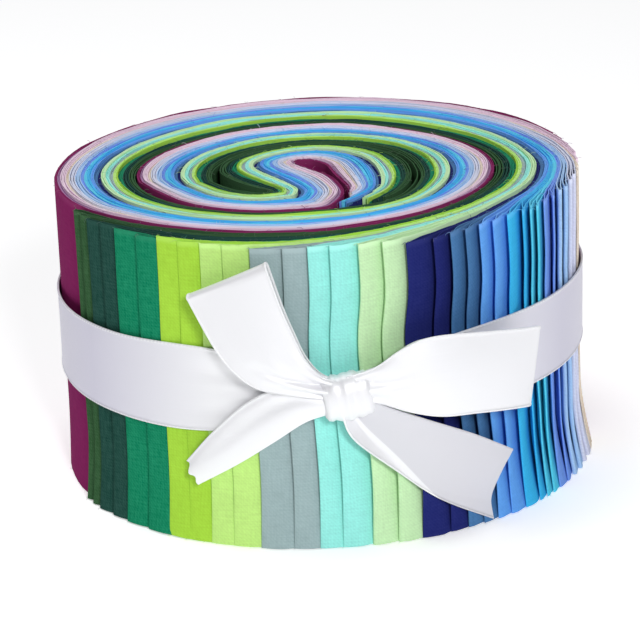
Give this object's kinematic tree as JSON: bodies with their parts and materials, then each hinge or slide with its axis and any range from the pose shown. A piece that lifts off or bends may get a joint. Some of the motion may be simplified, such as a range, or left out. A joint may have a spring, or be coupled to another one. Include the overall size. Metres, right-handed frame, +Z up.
{
  "type": "rolled fabric strips with ribbon bow",
  "caption": "Round roll of folded cotton strips wound in a flat-topped spiral, tied round its middle with a satin ribbon in a bow.",
  "frame": {"origin": "centre of the bounding box's underside, on the surface that the roll stands on", "axes": "+Z up along the roll's axis, -Y out of the bow"},
  "size_m": [0.1132, 0.1187, 0.0634],
  "materials": {
    "cotton": "matt plain-woven cotton in twenty colours",
    "satin": "soft satin sheen"
  },
  "bodies": {
    "root": {"fabric_roll": "cotton", "ribbon_bow": "satin"}
  },
  "joints": []
}
